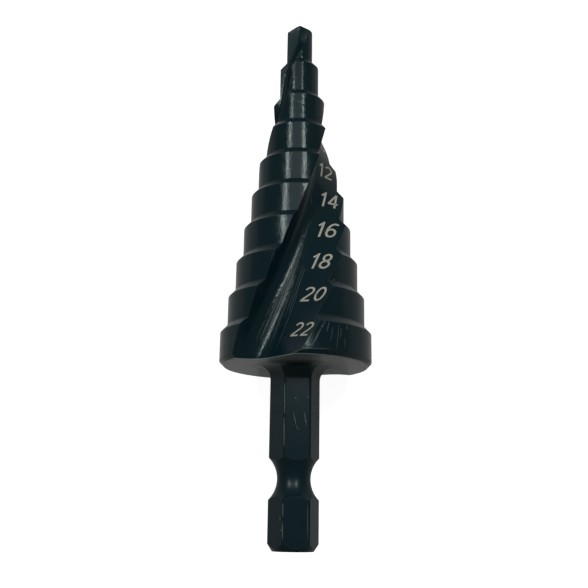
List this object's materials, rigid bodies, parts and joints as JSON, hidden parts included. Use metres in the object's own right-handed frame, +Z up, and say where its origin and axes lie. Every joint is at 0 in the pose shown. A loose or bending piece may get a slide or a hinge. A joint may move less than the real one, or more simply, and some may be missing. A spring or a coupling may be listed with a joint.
{
  "type": "step drill",
  "caption": "One-piece stepped cone drill bit with two spiral flutes and a hexagonal quick-change shank, for opening round holes in sheet metal.",
  "frame": {"origin": "centre of the bounding box on the surface that the drill lies on", "axes": "+Z up from that surface; +Y along the drill towards its point, seen from above; the shank's end is raised about eight degrees, as the drill lies on the edges of one flute"},
  "size_m": [0.022, 0.0808, 0.0215],
  "materials": {
    "black_steel": "satin black-oxide finish on ground tool steel, with pale engraved step sizes"
  },
  "bodies": {
    "root": {"step_drill": "black_steel"}
  },
  "joints": []
}
